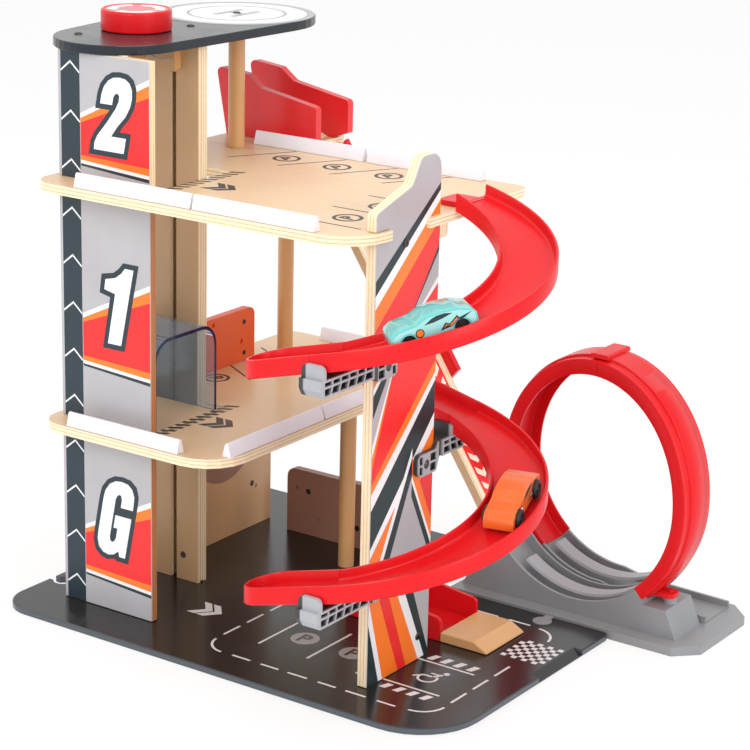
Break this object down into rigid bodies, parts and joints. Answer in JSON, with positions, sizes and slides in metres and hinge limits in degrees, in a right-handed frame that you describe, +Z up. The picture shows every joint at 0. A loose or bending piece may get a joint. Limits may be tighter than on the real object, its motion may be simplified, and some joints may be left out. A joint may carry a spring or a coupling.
{
  "type": "toy_garage",
  "caption": "Wooden toy parking garage with a hand-cranked lift, spiral car tracks, a drop ramp and a loop",
  "frame": {"origin": "The middle of the main board's underside (the board without the wing behind it)", "axes": "+X runs right along the board's front edge, +Y runs to the back, +Z is up"},
  "size_m": [0.5569, 0.444, 0.5223],
  "materials": {
    "printed_board": "glossy printed paint on a fibreboard sheet",
    "printed_panel": "satin printed paint on plywood, with bare wood edges",
    "birch_plywood": "satin clear varnish, fine grain",
    "beech": "satin clear varnish",
    "string": "twisted cotton, matte",
    "taupe_board": "satin brown stain",
    "orange_board": "satin orange paint",
    "red_board": "satin red paint",
    "red_plastic": "moulded, glossy",
    "grey_plastic": "moulded, satin",
    "bracket_grey": "moulded, satin",
    "white_kerb": "satin white paint with a lilac cast",
    "blue_acrylic": "clear blue acrylic, glossy",
    "teal_paint": "glossy",
    "orange_paint": "glossy",
    "tyre_black": "satin",
    "screw_steel": "black zinc"
  },
  "bodies": {
    "garage": {"base_board": "printed_board", "chute_floor": "birch_plywood", "chute_wall_far": "red_board", "chute_wall_near": "red_board", "dowel_lower": "beech", "dowel_middle": "beech", "dowel_upper": "beech", "drop_ramp": "birch_plywood", "drop_ramp_rail": "red_plastic", "exit_channel": "red_plastic", "exit_wedge": "beech", "floor_one": "birch_plywood", "floor_two": "birch_plywood", "ground_wall_panel": "birch_plywood", "guide_wall_back": "birch_plywood", "guide_wall_front": "birch_plywood", "kerb_one_back": "white_kerb", "kerb_one_front": "white_kerb", "kerb_one_right_a": "white_kerb", "kerb_one_right_b": "white_kerb", "kerb_two_back_a": "white_kerb", "kerb_two_back_b": "white_kerb", "kerb_two_front_a": "white_kerb", "kerb_two_front_b": "white_kerb", "lift_string": "string", "loop_base": "grey_plastic", "loop_clip": "red_plastic", "loop_ring_left": "red_plastic", "loop_ring_right": "red_plastic", "lower_bracket": "bracket_grey", "lower_bracket_screw": "screw_steel", "lower_track": "red_plastic", "lower_track_cup": "red_plastic", "lower_track_start": "red_plastic", "middle_bracket": "bracket_grey", "middle_bracket_screw": "screw_steel", "orange_board": "orange_board", "side_panel": "printed_panel", "string_guide": "beech", "support_block": "birch_plywood", "taupe_board": "taupe_board", "top_plate": "printed_board", "tower_panel_first": "printed_panel", "tower_panel_ground": "printed_panel", "tower_panel_second": "printed_panel", "upper_bracket": "bracket_grey", "upper_bracket_screw": "screw_steel", "upper_track": "red_plastic", "upper_track_cup": "red_plastic"},
    "lift": {"lift_floor": "birch_plywood", "lift_hood": "blue_acrylic", "lift_slider": "beech"},
    "crank": {"knob": "red_plastic", "knob_spindle": "beech"},
    "teal_car": {"teal_car_body": "teal_paint"},
    "teal_front_axle": {"teal_car_front_wheels": "tyre_black"},
    "teal_rear_axle": {"teal_car_rear_wheels": "tyre_black"},
    "orange_car": {"orange_car_body": "orange_paint"},
    "orange_front_axle": {"orange_car_front_wheels": "tyre_black"},
    "orange_rear_axle": {"orange_car_rear_wheels": "tyre_black"}
  },
  "joints": [
    {"name": "lift_travel", "type": "slide", "parent": "garage", "child": "lift", "axis": [0, 0, 1], "range_m": [-0.158, 0.212]},
    {"name": "knob_turn", "type": "hinge", "parent": "garage", "child": "crank", "pos_m": [-0.178, -0.007, 0.504], "axis": [0, 0, 1], "range_deg": [-1480, 1975]},
    {"name": "teal_car_lift_off", "type": "slide", "parent": "garage", "child": "teal_car", "axis": [0, 0, 1], "range_m": [0, 0.03]},
    {"name": "teal_front_axle", "type": "hinge", "parent": "teal_car", "child": "teal_front_axle", "pos_m": [0.19459, -0.14047, 0.33003], "axis": [-0.7431, 0.6691, 0], "continuous": true},
    {"name": "teal_rear_axle", "type": "hinge", "parent": "teal_car", "child": "teal_rear_axle", "pos_m": [0.22157, -0.1105, 0.34176], "axis": [-0.7431, 0.6691, 0], "continuous": true},
    {"name": "orange_car_lift_off", "type": "slide", "parent": "garage", "child": "orange_car", "axis": [0, 0, 1], "range_m": [0, 0.03]},
    {"name": "orange_front_axle", "type": "hinge", "parent": "orange_car", "child": "orange_front_axle", "pos_m": [0.23729, -0.05756, 0.17103], "axis": [-0.9744, -0.225, 0], "continuous": true},
    {"name": "orange_rear_axle", "type": "hinge", "parent": "orange_car", "child": "orange_rear_axle", "pos_m": [0.22822, -0.01826, 0.18276], "axis": [-0.9744, -0.225, 0], "continuous": true}
  ],
  "couplings": [
    {"joint": "knob_turn", "follows": "lift_travel", "rad_per_m": 161.29}
  ]
}
